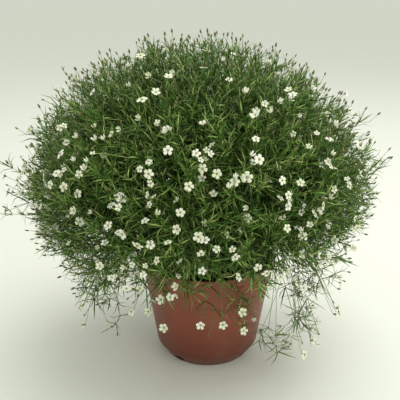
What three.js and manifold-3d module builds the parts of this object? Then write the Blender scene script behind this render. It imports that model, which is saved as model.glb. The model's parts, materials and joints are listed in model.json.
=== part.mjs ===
// Potted baby's breath: a white cushion of thread-like stems in a reddish brown plastic pot.
// Millimetres, +Z up, the origin under the middle of the pot's flat base, -Y towards the viewer.
import * as THREE from "three";
import { mergeVertices } from "three/addons/utils/BufferGeometryUtils.js";
import Module from "manifold-3d";

const wasm = await Module();
wasm.setup();

// Pot
const POT_HEIGHT = 100;
const LIP_RADIUS = 65;
const LIP_HEIGHT = 10;
const LIP_STEP = 2.4;
const FOOT_RADIUS = 50;
const FOOT_HEIGHT = 12;
const BASE_RADIUS = 41;
const WALL = 1.4;
const FLOOR = 1.6;
const POT_SEGMENTS = 32;
const DRAIN_COUNT = 4;
const DRAIN_WIDTH = 11;
const DRAIN_HEIGHT = 5;
const DRAIN_RISE = 5;
const DRAIN_FIRST = THREE.MathUtils.degToRad(-128);
const DRAIN_BEYOND = 2.8;
const POT_LOOK = { color: 0x74442f, roughness: 0.55 };

// Soil
const CLEARANCE = 0.3;
const SOIL_TOP = 86;
const SOIL_RINGS = 2;
const SOIL_SEGMENTS = 12;
const SOIL_WAVE = 0.9;
const SOIL_RIPPLES = [0.11, 0.13];
const SOIL_RIM = 1;
const HOLE_DEPTH = 9;
const HOLE_CUT = 14.4;
const HOLE_ROOM = 0.6;
const SOIL_LOOK = { color: 0x2a201a, roughness: 0.95 };

// Dome of foliage: its middle, its half sizes, and how boxy its outline is (2 is an ellipse)
const DOME_MIDDLE = new THREE.Vector3(-9, 0, 187);
const DOME_REACH = 150;
const DOME_DEPTH = 142;
const DOME_RISE = 107;
const DOME_DROP = 97;
const BOXINESS_ABOVE = 2.15;
const BOXINESS_BELOW = 3;

// Sprays: those of the dome in a golden-angle spiral from its top to its lower edge, then the strays
const DOME_SPRAYS = 22;
const GOLDEN_TURN = THREE.MathUtils.degToRad(137.508);
const LOWEST_LIFT = -0.5;
const FRONT_PULL = 0.25;
const STRAY_TIPS = [
  [-184, -12, 166],
  [-118, -42, 62],
  [-50, -88, 84],
  [12, -92, 74],
  [94, -62, 40],
  [120, -38, 60],
];
const ROOT_INNER = 4;
const ROOT_OUTER = 30;
const ROOT_STRAY = 37;
const ROOT_FALL = 170;
const DROOP_BELOW = 165;
const RISE_OUT = 6;
const RISE_HEIGHT = 55;
const RISE_PER_DROOP = 0.35;
const BEND_OUT = 0.68;
const BEND_PER_DROOP = 0.9;
const BEND_PER_HEIGHT = 0.3;
const STEM_SHARE = 0.8;
const STEM_RADIUS = [1, 0.65];
const JOINT_HALF = 0.7;
const STEM_BARE = [0, 0.14];
const STEM_JOINTS = [0.3, 0.46, 0.6, 0.72];

// Twigs, leaves and buds
const TWIG_RADIUS = [0.55, 0.42];
const TWIG_JOINTS = [0.26, 0.52, 0.78];
const TWIG_SPREAD = 44;
const TWIG_STAND = 14;
const TWIG_NEAREST = 0.15;
const TWIG_OUTWARD = 0.15;
const TWIG_KNEE = 0.2;
const TWIG_TRIES = 42;
const BUD_LENGTH = 4.2;
const BUD_RADIUS = 1.05;
const LEAF_LENGTH = 21;
const LEAF_OUT = 0.78;
const LEAF_FORWARD = 0.62;
const LEAF_THICK = 0.6;
const LEAF_LENGTHS = [0.85, 1.15];
const LEAF_FORWARDS = [0.6, 1.4];
const LEAF_SWAY = 0.45;
const LEAF_TRIES = 14;
const FREE_FROM = 0.08;
const LEAFY_LOOK = { color: 0x4c7a33, roughness: 0.6 };

// Blooms
const BLOOM_RADIUS = 4.3;
const BLOOM_RINGS = [42, 24, 33, 15];
const BLOOM_JOINTS = [0.08, 0.5, 0.27, 0.72];
const FRONT_WHORLS = 4;
const OTHER_WHORLS = 2;
const FRONT_FROM = -70;
const BLOOM_TWIST = 0.8;
const BLOOM_SWAY = 0.25;
const BLOOM_STAND = [-3, 6];
const BLOOM_SIZES = [0.86, 1.14];
const BLOOM_LIFT = 0.35;
const STRAY_SPREAD = 0.45;
const AXIS_RADIUS = 0.58;
const AXIS_GAP = 0.4;
const PEDICEL_RADIUS = 0.45;
const CALYX_DEPTH = 2.8;
const PETALS = 5;
const PETAL_HALF_TURN = THREE.MathUtils.degToRad(21);
const VALLEY_SHARE = 0.36;
const VALLEY_DEPTH = 0.72;
const HEART_DEPTH = 0.6;
const FLOWER_LOOK = { color: 0xf3f2e6, roughness: 0.6 };

const UP = new THREE.Vector3(0, 0, 1);

// A repeatable draw between 0 and 1 for a spray, one of its pieces and a try
const DRAW_STEPS = [12.9898, 78.233, 37.719];
const DRAW_START = 4.1;
const DRAW_SCALE = 43758.5453;
function draw(...numbers) {
  const sum = numbers.reduce((total, number, n) => total + number * DRAW_STEPS[n], DRAW_START);
  const wave = Math.sin(sum) * DRAW_SCALE;
  return wave - Math.floor(wave);
}

// A value out of a [least, most] pair
function within([least, most], share) {
  return THREE.MathUtils.lerp(least, most, share);
}

// Turns a closed geometry into a solid for joining and cutting
function solidFrom(geometry) {
  const bare = geometry.clone();
  bare.deleteAttribute("normal");
  bare.deleteAttribute("uv");
  const merged = mergeVertices(bare, 1e-4);
  const corners = merged.index.array;
  const kept = [];
  for (let i = 0; i < corners.length; i += 3) {
    const [a, b, c] = [corners[i], corners[i + 1], corners[i + 2]];
    if (a !== b && b !== c && c !== a) kept.push(a, b, c);
  }
  const mesh = new wasm.Mesh({
    numProp: 3,
    vertProperties: merged.attributes.position.array,
    triVerts: new Uint32Array(kept),
  });
  return new wasm.Manifold(mesh);
}

// Names a solid and gives it its material
function pieceFrom(solid, name, look) {
  const data = solid.getMesh();
  const geometry = new THREE.BufferGeometry();
  geometry.setAttribute("position", new THREE.BufferAttribute(data.vertProperties, 3));
  geometry.setIndex(new THREE.BufferAttribute(data.triVerts, 1));
  geometry.computeVertexNormals();
  const material = new THREE.MeshStandardMaterial({ ...look, metalness: 0 });
  const mesh = new THREE.Mesh(geometry, material);
  mesh.name = name;
  return mesh;
}

// A profile of [radius, height] pairs turned round the Z axis
function turned(profile, segments) {
  const points = profile.map(([radius, height]) => new THREE.Vector2(radius, height));
  return new THREE.LatheGeometry(points, segments).rotateX(Math.PI / 2);
}

// A closed surface under construction, from rings of points that each join the next
class Surface {
  points = [];
  corners = [];

  ring(points) {
    const first = this.points.length;
    this.points.push(...points);
    return points.map((point, n) => first + n);
  }

  middle(ring) {
    const sum = ring.reduce((total, n) => total.add(this.points[n]), new THREE.Vector3());
    return sum.divideScalar(ring.length);
  }

  // Joins a ring to the one above it; the two may differ in their count of points
  join(low, high) {
    const count = Math.max(low.length, high.length);
    const step = (ring, k) => ring[Math.floor((k * ring.length) / count) % ring.length];
    for (let k = 0; k < count; k += 1) {
      const [a, b] = [step(low, k), step(low, k + 1)];
      const [c, d] = [step(high, k), step(high, k + 1)];
      if (c !== d) this.corners.push(a, d, c);
      if (a !== b) this.corners.push(a, b, d);
    }
  }

  // Closes a ring flat, seen the way its points turn anticlockwise
  close(ring) {
    for (let k = 2; k < ring.length; k += 1) this.corners.push(ring[0], ring[k - 1], ring[k]);
  }

  geometry() {
    const geometry = new THREE.BufferGeometry();
    const numbers = this.points.flatMap((point) => point.toArray());
    geometry.setAttribute("position", new THREE.Float32BufferAttribute(numbers, 3));
    return geometry.setIndex(this.corners);
  }
}

// The part of a direction that lies across another
function acrossOf(direction, way) {
  return direction.clone().addScaledVector(way, -direction.dot(way)).normalize();
}

// Three points round a point, across the way the limb runs there
function triangleAt(point, way, side, radius) {
  const across = new THREE.Vector3().crossVectors(way, side);
  return [0, 1, 2].map((corner) => {
    const turn = (corner * Math.PI * 2) / 3;
    const shifted = point.clone().addScaledVector(side, Math.cos(turn) * radius);
    return shifted.addScaledVector(across, Math.sin(turn) * radius);
  });
}

// Grows a three-sided limb through its stations. It starts from a face of its parent, or closed
// where it has none. At a joint each of its three sides may sprout; a side that doesn't is closed.
function growLimb(surface, face, side, stations, sprout) {
  let below = face;
  let aside = side;
  stations.forEach((station) => {
    const { point, way, radius } = station;
    aside = acrossOf(aside, way);
    const ringAt = (shift) =>
      surface.ring(triangleAt(point.clone().addScaledVector(way, shift), way, aside, radius));
    const low = ringAt(station.joint ? -JOINT_HALF : 0);
    if (below) surface.join(below, low);
    else surface.close([...low].reverse());
    below = low;
    if (!station.joint) return;
    const high = ringAt(JOINT_HALF);
    for (let k = 0; k < 3; k += 1) {
      const on = (k + 1) % 3;
      const side4 = [low[k], low[on], high[on], high[k]];
      const centre = surface.middle(side4);
      const outward = acrossOf(centre.clone().sub(point), way);
      if (!sprout({ face: side4, centre, outward, way, station, k })) surface.close(side4);
    }
    below = high;
  });
  return { ring: below, side: aside };
}

// Shortest distance between two straight stretches
function stretchGap(a, b, c, d) {
  const along = b.clone().sub(a);
  const other = d.clone().sub(c);
  const between = a.clone().sub(c);
  const aa = along.dot(along);
  const ee = other.dot(other);
  const f = other.dot(between);
  const cross = along.dot(other);
  const g = along.dot(between);
  const spread = aa * ee - cross * cross;
  const clamp = (value) => THREE.MathUtils.clamp(value, 0, 1);
  let s = spread > 1e-9 ? clamp((cross * f - g * ee) / spread) : 0;
  let t = (cross * s + f) / ee;
  if (t < 0 || t > 1) {
    t = clamp(t);
    s = clamp((cross * t - g) / aa);
  }
  return a.clone().addScaledVector(along, s).distanceTo(c.clone().addScaledVector(other, t));
}

// Room already taken, as straight stretches with a radius. Each stretch carries the name of its limb
// with its number along it, and the first also that of the joint it starts from.
const taken = [];
function isFree(points, radius, own) {
  return points.slice(1).every((to, n) => {
    const from = points[n];
    return taken.every((other) => {
      if (other.tags.some((tag) => own.includes(tag))) return true;
      const room = radius + other.radius + CLEARANCE;
      const far = from.distanceTo(to) + other.from.distanceTo(other.to) + room;
      if (from.distanceTo(other.from) > far) return true;
      return stretchGap(from, to, other.from, other.to) > room;
    });
  });
}
function take(points, radius, limb, joint = limb) {
  points.slice(1).forEach((to, n) => {
    const tags = n === 0 ? [limb + ".0", joint] : [limb + "." + n];
    taken.push({ from: points[n], to, radius, tags });
  });
}

// The two stretches of a limb that meet at its point n
function besides(limb, n) {
  return [limb + "." + (n - 1), limb + "." + n];
}

// Where the dome's surface lies in a direction from its middle
function domePoint(direction) {
  const way = direction.clone().normalize();
  const [tall, boxiness] = way.z > 0 ? [DOME_RISE, BOXINESS_ABOVE] : [DOME_DROP, BOXINESS_BELOW];
  const flat = Math.hypot(way.x / DOME_REACH, way.y / DOME_DEPTH) ** boxiness;
  const steep = Math.abs(way.z / tall) ** boxiness;
  return way.multiplyScalar((flat + steep) ** (-1 / boxiness)).add(DOME_MIDDLE);
}

// The line of a spray from the soil to its tip: up, outwards, and over where the tip hangs low
function sprayLine(tip, stray) {
  const outward = new THREE.Vector3(tip.x, tip.y, 0);
  const reach = outward.length();
  outward.normalize();
  const fall = THREE.MathUtils.clamp((DOME_MIDDLE.z + DOME_RISE - tip.z) / ROOT_FALL, 0, 1);
  const rootRadius = stray ? ROOT_STRAY : within([ROOT_INNER, ROOT_OUTER], Math.sqrt(fall));
  const at = (radius, height) => outward.clone().multiplyScalar(radius).setZ(height);
  const droop = Math.max(0, DROOP_BELOW - tip.z);
  const height = Math.max(0, tip.z - DROOP_BELOW);
  const root = at(rootRadius, SOIL_TOP - HOLE_DEPTH);
  const rise = at(rootRadius + RISE_OUT, SOIL_TOP + RISE_HEIGHT + RISE_PER_DROOP * droop);
  const bend = at(reach * BEND_OUT, tip.z + BEND_PER_DROOP * droop - BEND_PER_HEIGHT * height);
  return new THREE.CubicBezierCurve3(root, rise, bend, tip);
}

// Every spray: where it aims, the line it follows, and the directions its fan opens in. The fan of a
// stray stands upright, because its tip turns up towards the light.
function makeSpray(tip, number, stray) {
  const outward = stray ? new THREE.Vector3(tip.x, tip.y, 0) : tip.clone().sub(DOME_MIDDLE);
  outward.normalize();
  const side = new THREE.Vector3().crossVectors(UP, outward).normalize();
  const across = new THREE.Vector3().crossVectors(outward, side);
  const label = String(number).padStart(2, "0");
  return { number, label, tip, stray, outward, side, across, line: sprayLine(tip, stray) };
}

const sprays = [];
for (let n = 0; n < DOME_SPRAYS; n += 1) {
  const lift = within([1, LOWEST_LIFT], (n + 0.5) / DOME_SPRAYS);
  const flat = Math.sqrt(1 - lift * lift);
  const even = n * GOLDEN_TURN;
  const turn = even - FRONT_PULL * Math.cos(even);
  const way = new THREE.Vector3(flat * Math.cos(turn), flat * Math.sin(turn), lift);
  sprays.push(makeSpray(domePoint(way), sprays.length + 1, false));
}
STRAY_TIPS.forEach((tip) => {
  sprays.push(makeSpray(new THREE.Vector3(...tip), sprays.length + 1, true));
});

// A point of the fan that a spray opens into: on the dome's surface round its own tip
function fanPoint(spray, radius, turn, stand) {
  const point = spray.tip.clone().addScaledVector(spray.side, Math.cos(turn) * radius);
  point.addScaledVector(spray.across, Math.sin(turn) * radius);
  if (spray.stray) return point;
  const outward = point.sub(DOME_MIDDLE).normalize();
  return domePoint(outward).addScaledVector(outward, stand);
}

function stationOn(curve, share, radius, joint = false) {
  return { point: curve.getPoint(share), way: curve.getTangent(share), radius, joint };
}

// The room of every main stem is taken first, and each stands in a plain hole in the soil
const stemShares = [...STEM_BARE, ...STEM_JOINTS, STEM_SHARE];
const holes = [];
sprays.forEach((spray) => {
  const points = stemShares.map((share) => spray.line.getPoint(share));
  take(points, STEM_RADIUS[0], "stem" + spray.label);
  const foot = points[0].clone().setZ(points[0].z - CLEARANCE);
  const way = points[1].clone().sub(points[0]).normalize();
  const top = points[0].clone().addScaledVector(way, HOLE_CUT);
  const wide = STEM_RADIUS[0] + HOLE_ROOM;
  const surface = new Surface();
  const stations = [foot, top].map((point) => ({ point, way, radius: wide }));
  surface.close(growLimb(surface, null, spray.side, stations).ring);
  holes.push(solidFrom(surface.geometry()));
});

// A bloom at the end of its stalk: the edge of five petals, then the heart between them
function growBloom(surface, ring, side, base, facing, radius) {
  const aside = acrossOf(side, facing);
  const across = new THREE.Vector3().crossVectors(facing, aside);
  const edgePoint = (turn, share, height) => {
    const point = base.clone().addScaledVector(facing, height * CALYX_DEPTH);
    point.addScaledVector(aside, Math.cos(turn) * radius * share);
    return point.addScaledVector(across, Math.sin(turn) * radius * share);
  };
  const edge = [];
  for (let petal = 0; petal < PETALS; petal += 1) {
    const turn = (petal * Math.PI * 2 - Math.PI) / PETALS;
    edge.push(edgePoint(turn - PETAL_HALF_TURN, 1, 1));
    edge.push(edgePoint(turn + PETAL_HALF_TURN, 1, 1));
    edge.push(edgePoint(turn + Math.PI / PETALS, VALLEY_SHARE, VALLEY_DEPTH));
  }
  const edgeRing = surface.ring(edge);
  surface.join(ring, edgeRing);
  surface.join(edgeRing, surface.ring([edgePoint(0, 0, HEART_DEPTH)]));
}

// Which way a bloom at the end of a stalk faces: along it, outwards, and a little up
function bloomFacing(spray, foot, base) {
  const facing = base.clone().sub(foot).normalize();
  return facing.add(spray.outward).addScaledVector(UP, BLOOM_LIFT).normalize();
}

// The flowering end of a spray: a middle stalk whose joints carry three stalks each, all with a bloom
function growFlowers(spray) {
  const surface = new Surface();
  const own = "flowers" + spray.label;
  const along = (share) => within([STEM_SHARE, 1], share);
  const start = AXIS_GAP / spray.line.getPoint(STEM_SHARE).distanceTo(spray.tip);
  const station = (share, more) => {
    return { ...stationOn(spray.line, along(share), AXIS_RADIUS, more !== undefined), ...more };
  };
  const whorls = spray.stray ? 1 : spray.tip.y < FRONT_FROM ? FRONT_WHORLS : OTHER_WHORLS;
  const joints = BLOOM_JOINTS.slice(0, whorls).map((share, n) => ({ share, spread: BLOOM_RINGS[n] }));
  joints.sort((one, other) => one.share - other.share);
  const stations = [station(start), ...joints.map((joint) => station(joint.share, joint)), station(1)];
  take(stations.map(({ point }) => point), AXIS_RADIUS, own, "stem" + spray.label);

  const hold = (foot, base, facing, radius, tags, joint) => {
    const face = base.clone().addScaledVector(facing, CALYX_DEPTH);
    const stalk = [foot.clone().lerp(base, FREE_FROM), base];
    if (!isFree(stalk, PEDICEL_RADIUS, tags) || !isFree([base, face], radius, [])) return false;
    take([foot, base], PEDICEL_RADIUS, joint + ".stalk", joint);
    take([base, face], radius, joint + ".bloom");
    return true;
  };
  const endFacing = bloomFacing(spray, spray.line.getPoint(along(0.5)), spray.tip);
  const endFace = spray.tip.clone().addScaledVector(endFacing, CALYX_DEPTH);
  take([spray.tip, endFace], BLOOM_RADIUS, own + ".end");

  const end = growLimb(surface, null, spray.side, stations, ({ face, centre, outward, station: at, k }) => {
    const turn = Math.atan2(outward.dot(spray.across), outward.dot(spray.side));
    const sway = within([-BLOOM_SWAY, BLOOM_SWAY], draw(spray.number, at.spread, k));
    const shift = sway + BLOOM_TWIST * at.share;
    const stand = within(BLOOM_STAND, draw(spray.number, at.spread + 3, k));
    const base = fanPoint(spray, at.spread * (spray.stray ? STRAY_SPREAD : 1), turn + shift, stand);
    const facing = bloomFacing(spray, centre, base);
    const radius = BLOOM_RADIUS * within(BLOOM_SIZES, draw(spray.number, at.spread + 5, k));
    const joint = own + "at" + at.spread;
    const tags = [joint, ...besides(own, stations.indexOf(at))];
    if (!hold(centre, base, facing, radius, tags, joint)) return false;
    const way = base.clone().sub(centre).normalize();
    const low = surface.middle(face.slice(0, 2)).sub(centre);
    const stalk = growLimb(surface, face, low, [{ point: base, way, radius: PEDICEL_RADIUS }]);
    growBloom(surface, stalk.ring, stalk.side, base, facing, radius);
    return true;
  });
  growBloom(surface, end.ring, end.side, spray.tip, endFacing, BLOOM_RADIUS);
  return solidFrom(surface.geometry());
}

// A narrow leaf from one side of a joint, outwards and forwards
function growLeaf(surface, { face, centre, outward, way }, seed, tags, joint) {
  const sideways = new THREE.Vector3().crossVectors(way, outward);
  for (let attempt = 0; attempt < LEAF_TRIES; attempt += 1) {
    const length = LEAF_LENGTH * within(LEAF_LENGTHS, draw(seed, 1, attempt));
    const forward = LEAF_FORWARD * within(LEAF_FORWARDS, draw(seed, 2, attempt));
    const sway = within([-LEAF_SWAY, LEAF_SWAY], draw(seed, 3, attempt));
    const tip = centre.clone().addScaledVector(outward, length * LEAF_OUT);
    tip.addScaledVector(way, length * forward).addScaledVector(sideways, length * sway);
    if (!isFree([centre.clone().lerp(tip, FREE_FROM), tip], LEAF_THICK, tags)) continue;
    take([centre, tip], LEAF_THICK, "leaf" + seed, joint);
    surface.join(face, surface.ring([tip]));
    return true;
  }
  return false;
}

// A twig from one side of a joint, with leaves at its own joints and a bud at its tip
function growTwig(surface, spray, { face, centre, outward, way }, seed, tags, joint) {
  const own = "twig" + seed;
  for (let attempt = 0; attempt < TWIG_TRIES; attempt += 1) {
    const turn = Math.PI * 2 * draw(seed, 4, attempt);
    const reach = TWIG_SPREAD * (spray.stray ? STRAY_SPREAD : 1);
    const spread = reach * Math.sqrt(within([TWIG_NEAREST, 1], draw(seed, 5, attempt)));
    const end = fanPoint(spray, spread, turn, TWIG_STAND * draw(seed, 6, attempt));
    const length = centre.distanceTo(end);
    if (end.clone().sub(centre).dot(outward) < length * TWIG_OUTWARD) continue;
    const out = way.clone().add(outward).multiplyScalar(length * TWIG_KNEE);
    const knee = centre.clone().add(out).lerp(end, TWIG_KNEE);
    const curve = new THREE.QuadraticBezierCurve3(centre, knee, end);
    const stations = TWIG_JOINTS.map((share) => stationOn(curve, share, TWIG_RADIUS[0], true));
    const bud = 1 - BUD_LENGTH / length;
    stations.push(stationOn(curve, bud, TWIG_RADIUS[1]), stationOn(curve, (1 + bud) / 2, BUD_RADIUS));
    const points = [...stations.map(({ point }) => point), end];
    if (!isFree([curve.getPoint(FREE_FROM), ...points], BUD_RADIUS, tags)) continue;
    take([centre, ...points], BUD_RADIUS, own, joint);
    const low = surface.middle(face.slice(0, 2)).sub(centre);
    const twig = growLimb(surface, face, low, stations, (side) => {
      const n = stations.indexOf(side.station);
      const at = own + "at" + n;
      return growLeaf(surface, side, seed * 11 + n * 3 + side.k, [at, ...besides(own, n + 1)], at);
    });
    surface.join(twig.ring, surface.ring([end]));
    return true;
  }
  return false;
}

// The leafy part of a spray: its main stem from the soil, with two leaves and a twig at each joint
function growLeafy(spray) {
  const surface = new Surface();
  const radiusAt = (share) => THREE.MathUtils.mapLinear(share, 0, STEM_SHARE, ...STEM_RADIUS);
  const stations = stemShares.map((share) => {
    return { ...stationOn(spray.line, share, radiusAt(share), STEM_JOINTS.includes(share)), share };
  });
  const end = growLimb(surface, null, spray.side, stations, (side) => {
    const n = stations.indexOf(side.station);
    const seed = spray.number * 50 + n * 3 + side.k;
    const at = "joint" + spray.label + "at" + n;
    const tags = [at, ...besides("stem" + spray.label, n)];
    if ((n + spray.number) % 3 === side.k && growTwig(surface, spray, side, seed, tags, at)) return true;
    return growLeaf(surface, side, seed, tags, at);
  });
  surface.close(end.ring);
  return solidFrom(surface.geometry());
}

// Pot: the outside from the base up, over the lip, and down the inside to the floor
function makePot() {
  const wallTop = POT_HEIGHT - LIP_HEIGHT;
  const profile = [
    [0, 0],
    [BASE_RADIUS, 0],
    [FOOT_RADIUS, FOOT_HEIGHT],
    [LIP_RADIUS - LIP_STEP, wallTop],
    [LIP_RADIUS, wallTop],
    [LIP_RADIUS, POT_HEIGHT],
    [LIP_RADIUS - WALL, POT_HEIGHT],
    [LIP_RADIUS - LIP_STEP - WALL, wallTop - WALL],
    [FOOT_RADIUS - WALL, FOOT_HEIGHT],
    [BASE_RADIUS - WALL, FLOOR],
    [0, FLOOR],
  ];
  let pot = solidFrom(turned(profile, POT_SEGMENTS));
  for (let n = 0; n < DRAIN_COUNT; n += 1) {
    const length = FOOT_RADIUS - BASE_RADIUS + 2 * DRAIN_BEYOND;
    const slot = new THREE.BoxGeometry(length, DRAIN_WIDTH, DRAIN_HEIGHT);
    slot.translate((BASE_RADIUS + FOOT_RADIUS) / 2, 0, DRAIN_RISE);
    slot.rotateZ(DRAIN_FIRST + (n * Math.PI * 2) / DRAIN_COUNT);
    pot = pot.subtract(solidFrom(slot));
  }
  return pot;
}

// Soil: it fills the pot with a slightly wavy top, and each stem has its hole
function makeSoil() {
  const inset = WALL + CLEARANCE;
  const slope = (LIP_RADIUS - LIP_STEP - FOOT_RADIUS) / (POT_HEIGHT - LIP_HEIGHT - FOOT_HEIGHT);
  const edge = FOOT_RADIUS - inset + slope * (SOIL_TOP - FOOT_HEIGHT);
  const profile = [
    [0, FLOOR + CLEARANCE],
    [BASE_RADIUS - inset - CLEARANCE, FLOOR + CLEARANCE],
    [FOOT_RADIUS - inset, FOOT_HEIGHT + CLEARANCE],
    [edge, SOIL_TOP],
  ];
  for (let ring = SOIL_RINGS - 1; ring >= 0; ring -= 1) {
    profile.push([(edge * ring) / SOIL_RINGS, SOIL_TOP]);
  }
  const body = turned(profile, SOIL_SEGMENTS);
  const position = body.attributes.position;
  for (let n = 0; n < position.count; n += 1) {
    const [x, y, z] = [position.getX(n), position.getY(n), position.getZ(n)];
    const wave = Math.sin(x * SOIL_RIPPLES[0] + 1) * Math.cos(y * SOIL_RIPPLES[1]);
    const inside = z > SOIL_TOP - SOIL_RIM && Math.hypot(x, y) < edge - SOIL_RIM;
    if (inside) position.setZ(n, z + SOIL_WAVE * wave);
  }
  return solidFrom(body).subtract(wasm.Manifold.union(holes));
}

// The whole plant in its pot
const plant = new THREE.Group();
plant.add(pieceFrom(makePot(), "pot", POT_LOOK));
plant.add(pieceFrom(makeSoil(), "soil", SOIL_LOOK));
sprays.forEach((spray) => {
  plant.add(pieceFrom(growFlowers(spray), "flower_spray_" + spray.label, FLOWER_LOOK));
});
sprays.forEach((spray) => {
  plant.add(pieceFrom(growLeafy(spray), "leafy_spray_" + spray.label, LEAFY_LOOK));
});

export default plant;
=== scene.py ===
import json
import math

import bmesh
import bpy
import numpy as np
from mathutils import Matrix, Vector, noise

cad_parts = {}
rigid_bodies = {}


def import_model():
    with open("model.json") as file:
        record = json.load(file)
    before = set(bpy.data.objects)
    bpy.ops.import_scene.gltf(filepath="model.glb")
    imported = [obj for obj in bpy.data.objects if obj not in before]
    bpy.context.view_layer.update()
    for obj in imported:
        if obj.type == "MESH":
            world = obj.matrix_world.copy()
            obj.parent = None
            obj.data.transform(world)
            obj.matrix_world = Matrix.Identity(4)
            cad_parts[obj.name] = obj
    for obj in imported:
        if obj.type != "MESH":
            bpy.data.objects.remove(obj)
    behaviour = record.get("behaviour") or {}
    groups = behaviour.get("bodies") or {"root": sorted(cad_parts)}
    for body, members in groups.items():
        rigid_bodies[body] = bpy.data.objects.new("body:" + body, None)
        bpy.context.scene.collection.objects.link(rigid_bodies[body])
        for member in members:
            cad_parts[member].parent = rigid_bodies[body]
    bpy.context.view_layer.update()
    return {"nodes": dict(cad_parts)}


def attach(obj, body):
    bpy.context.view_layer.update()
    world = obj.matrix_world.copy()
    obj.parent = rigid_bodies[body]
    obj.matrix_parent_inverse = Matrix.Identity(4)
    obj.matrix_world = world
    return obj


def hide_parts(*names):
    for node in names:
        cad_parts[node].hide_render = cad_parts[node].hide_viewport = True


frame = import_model()


# Camera
# It stands 60 cm from the plant, 18 degrees above the horizontal, and looks at the lower middle of the dome.
# The lens has the field of view that the pot's rim, base and drainage holes show.
MM = 0.001
CAMERA_PLACE = Vector((-7.3, -570.6, 340.4)) * MM
CAMERA_AIM = Vector((-7.3, 0, 155)) * MM
LENS = 56.6
SENSOR_WIDTH = 36
NEAREST_SEEN = 0.01

camera = bpy.data.objects.new("camera", bpy.data.cameras.new("camera"))
camera.data.lens = LENS
camera.data.sensor_width = SENSOR_WIDTH
camera.data.clip_start = NEAREST_SEEN
camera.location = CAMERA_PLACE
camera.rotation_euler = (CAMERA_AIM - CAMERA_PLACE).to_track_quat("-Z", "Y").to_euler()
bpy.context.scene.collection.objects.link(camera)
bpy.context.scene.camera = camera


# Floor and light
# A plain pale floor that fills the view, under one large soft lamp overhead, a little behind and to the
# right, and a weaker one in front on the right. The air around is pale and gives the rest.
FLOOR_REACH = 60000
LAMP_AIM = (0, 0, 0.15)
AIR_COLOUR = "#eef1e6"
AIR_STRENGTH = 0.88

bpy.context.scene.view_settings.view_transform = "Standard"


def linear(colour):
    """An sRGB hex colour as the linear numbers that a shader takes."""
    channels = [int(colour[n : n + 2], 16) / 255 for n in (1, 3, 5)]
    bent = [c / 12.92 if c <= 0.04045 else ((c + 0.055) / 1.055) ** 2.4 for c in channels]
    return (*bent, 1.0)


def add_node(tree, kind, links=None, **settings):
    """Adds a node with its settings; links gives each input a value or the output that feeds it."""
    made = tree.nodes.new(kind)
    for name, value in settings.items():
        setattr(made, name, value)
    for name, source in (links or {}).items():
        if isinstance(source, bpy.types.NodeSocket):
            tree.links.new(source, made.inputs[name])
        else:
            made.inputs[name].default_value = source
    return made


def new_material(name, **shader_values):
    """A material with one principled shader; names of its sockets are written with underscores."""
    material = bpy.data.materials.new(name)
    material.use_nodes = True
    shader = material.node_tree.nodes["Principled BSDF"]
    for socket, value in shader_values.items():
        shader.inputs[socket.replace("_", " ")].default_value = value
    return material, material.node_tree, shader


def mesh_object(name, points, faces, edges=()):
    """An object with a mesh of these points in millimetres."""
    mesh = bpy.data.meshes.new(name)
    mesh.from_pydata((np.array(points, float) * MM).tolist(), edges, faces)
    mesh.update()
    made = bpy.data.objects.new(name, mesh)
    bpy.context.scene.collection.objects.link(made)
    return made


def area_lamp(name, place, size, power, colour):
    """A square lamp in metres and watts, turned towards the plant."""
    lamp = bpy.data.objects.new(name, bpy.data.lights.new(name, "AREA"))
    lamp.data.size = size
    lamp.data.energy = power
    lamp.data.color = linear(colour)[:3]
    lamp.location = place
    lamp.rotation_euler = (Vector(LAMP_AIM) - Vector(place)).to_track_quat("-Z", "Y").to_euler()
    bpy.context.scene.collection.objects.link(lamp)


corner_ways = ((-1, -1), (1, -1), (1, 1), (-1, 1))
floor_corners = [(x * FLOOR_REACH, y * FLOOR_REACH, 0) for x, y in corner_ways]
floor = mesh_object("floor", floor_corners, [(0, 1, 2, 3)])

# Laminate: flat white, with only a broad dull sheen.
floor_paint, _, _ = new_material("matt white laminate", Base_Color=linear("#e9ebe4"), Roughness=0.6)
floor.data.materials.append(floor_paint)

area_lamp("lamp overhead", place=(0.42, 0.15, 1.7), size=1.7, power=18, colour="#fffef8")
area_lamp("lamp in front", place=(0.9, -1.1, 0.8), size=1.2, power=5.5, colour="#fdfff6")

air = bpy.data.worlds.new("air")
air.use_nodes = True
air.node_tree.nodes["Background"].inputs["Color"].default_value = linear(AIR_COLOUR)
air.node_tree.nodes["Background"].inputs["Strength"].default_value = AIR_STRENGTH
bpy.context.scene.world = air


# Pot
# A grower's pot of thin polypropylene in reddish brown, injection moulded in one piece: an upright lip,
# a smooth tapered wall, a slanted foot ring with four drainage holes, and a flat floor.
POT_TURNS = 128

# The profile's corners from the base up, over the lip and down inside: radius, height and rounding
POT_CORNERS = [
    (0, 0, 0),
    (41, 0, 0.8),
    (50, 12, 1.2),
    (62.6, 90, 0.5),
    (65, 90, 0.5),
    (65, 100, 0.6),
    (63.6, 100, 0.6),
    (61.2, 88.6, 0.5),
    (48.6, 12, 1.0),
    (39.6, 1.6, 0.8),
    (0, 1.6, 0),
]
DRAIN_TURNS = [math.radians(-128 + 90 * n) for n in range(4)]
DRAIN_SIZE = (14.6, 11, 5)
DRAIN_PLACE = (45.5, 0, 5)
DRAIN_ROUNDING = 1.2
SHARP_FROM = math.radians(40)
DUST_MOST = 0.32


def rounded(corners, steps=3):
    """A profile of (radius, height, rounding) corners as points, each corner turned into an arc."""
    profile = []
    for before, corner, after in zip(corners[:1] + corners[:-1], corners, corners[1:] + corners[-1:]):
        here = Vector(corner[:2])
        if corner[2] == 0:
            profile.append(tuple(here))
            continue
        start = here + (Vector(before[:2]) - here).normalized() * corner[2]
        end = here + (Vector(after[:2]) - here).normalized() * corner[2]
        for step in range(steps + 1):
            share = step / steps
            profile.append(tuple(start.lerp(here, share).lerp(here.lerp(end, share), share)))
    return profile


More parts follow.
